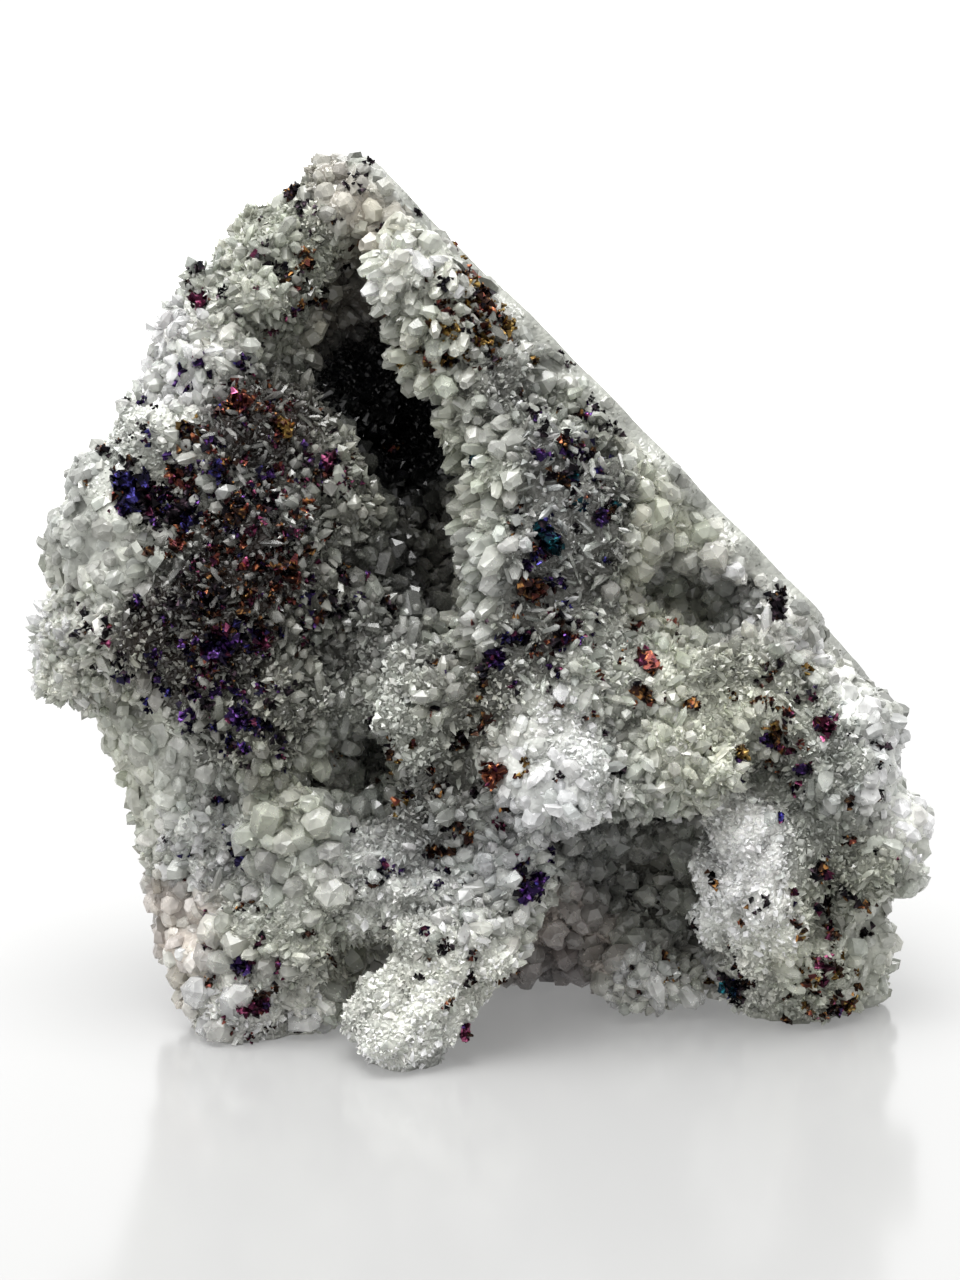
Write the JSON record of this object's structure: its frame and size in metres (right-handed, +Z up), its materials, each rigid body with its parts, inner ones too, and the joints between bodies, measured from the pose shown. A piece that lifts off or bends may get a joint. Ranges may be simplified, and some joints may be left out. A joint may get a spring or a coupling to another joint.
{
  "type": "chalcopyrite specimen",
  "caption": "Free-standing crystal-lined mass of milky quartz, hollowed by vugs, sawn flat on one slanting side and set with tarnished chalcopyrite crystals; for display.",
  "frame": {"origin": "middle of the base, on the plane the specimen stands on", "axes": "+Z up, +X to the right of the crystal face as pictured, so that the crystal face looks along -Y"},
  "size_m": [0.119, 0.0631, 0.114],
  "materials": {
    "milky_quartz": "milky translucent crystal druse, glassy facets, grey-green tint",
    "chalcopyrite_blue": "deep blue tarnish with a metallic sheen",
    "chalcopyrite_violet": "violet tarnish with a metallic sheen",
    "chalcopyrite_magenta": "magenta-red tarnish with a metallic sheen",
    "chalcopyrite_copper": "copper-red tarnish with a metallic sheen",
    "chalcopyrite_bronze": "brown bronze tarnish with a metallic sheen",
    "chalcopyrite_gold": "brassy gold, hardly tarnished",
    "chalcopyrite_teal": "blue-green tarnish with a metallic sheen",
    "chalcopyrite_black": "near-black tarnish with a metallic sheen"
  },
  "bodies": {
    "root": {"quartz_druse": "milky_quartz", "chalcopyrite_blue_temple": "chalcopyrite_blue", "chalcopyrite_black_ledge": "chalcopyrite_black", "chalcopyrite_copper_temple": "chalcopyrite_copper", "chalcopyrite_black_crown": "chalcopyrite_black", "chalcopyrite_magenta_shoulder": "chalcopyrite_magenta", "chalcopyrite_copper_brow": "chalcopyrite_copper", "chalcopyrite_gold_brow": "chalcopyrite_gold", "chalcopyrite_magenta_fringe": "chalcopyrite_magenta", "chalcopyrite_blue_face": "chalcopyrite_blue", "chalcopyrite_copper_face": "chalcopyrite_copper", "chalcopyrite_violet_face": "chalcopyrite_violet", "chalcopyrite_violet_jaw": "chalcopyrite_violet", "chalcopyrite_bronze_saw_edge": "chalcopyrite_bronze", "chalcopyrite_gold_saw_edge": "chalcopyrite_gold", "chalcopyrite_violet_rib": "chalcopyrite_violet", "chalcopyrite_teal_rib": "chalcopyrite_teal", "chalcopyrite_blue_rib": "chalcopyrite_teal", "chalcopyrite_violet_rib_side": "chalcopyrite_violet", "chalcopyrite_bronze_rib": "chalcopyrite_bronze", "chalcopyrite_violet_rib_foot": "chalcopyrite_violet", "chalcopyrite_magenta_valley": "chalcopyrite_magenta", "chalcopyrite_copper_slope": "chalcopyrite_copper", "chalcopyrite_bronze_slope": "chalcopyrite_bronze", "chalcopyrite_bronze_slope_side": "chalcopyrite_bronze", "chalcopyrite_copper_belly": "chalcopyrite_copper", "chalcopyrite_gold_flank": "chalcopyrite_gold", "chalcopyrite_bronze_flank": "chalcopyrite_bronze", "chalcopyrite_magenta_flank": "chalcopyrite_magenta", "chalcopyrite_violet_flank": "chalcopyrite_violet", "chalcopyrite_black_rim": "chalcopyrite_black", "chalcopyrite_blue_flank": "chalcopyrite_blue", "chalcopyrite_magenta_shin": "chalcopyrite_magenta", "chalcopyrite_violet_finger": "chalcopyrite_violet", "chalcopyrite_magenta_fingertip": "chalcopyrite_magenta", "chalcopyrite_blue_column": "chalcopyrite_blue", "chalcopyrite_magenta_column": "chalcopyrite_magenta", "chalcopyrite_violet_column": "chalcopyrite_violet", "chalcopyrite_magenta_foot": "chalcopyrite_magenta", "chalcopyrite_gold_foot": "chalcopyrite_gold", "chalcopyrite_teal_heel": "chalcopyrite_teal"}
  },
  "joints": []
}
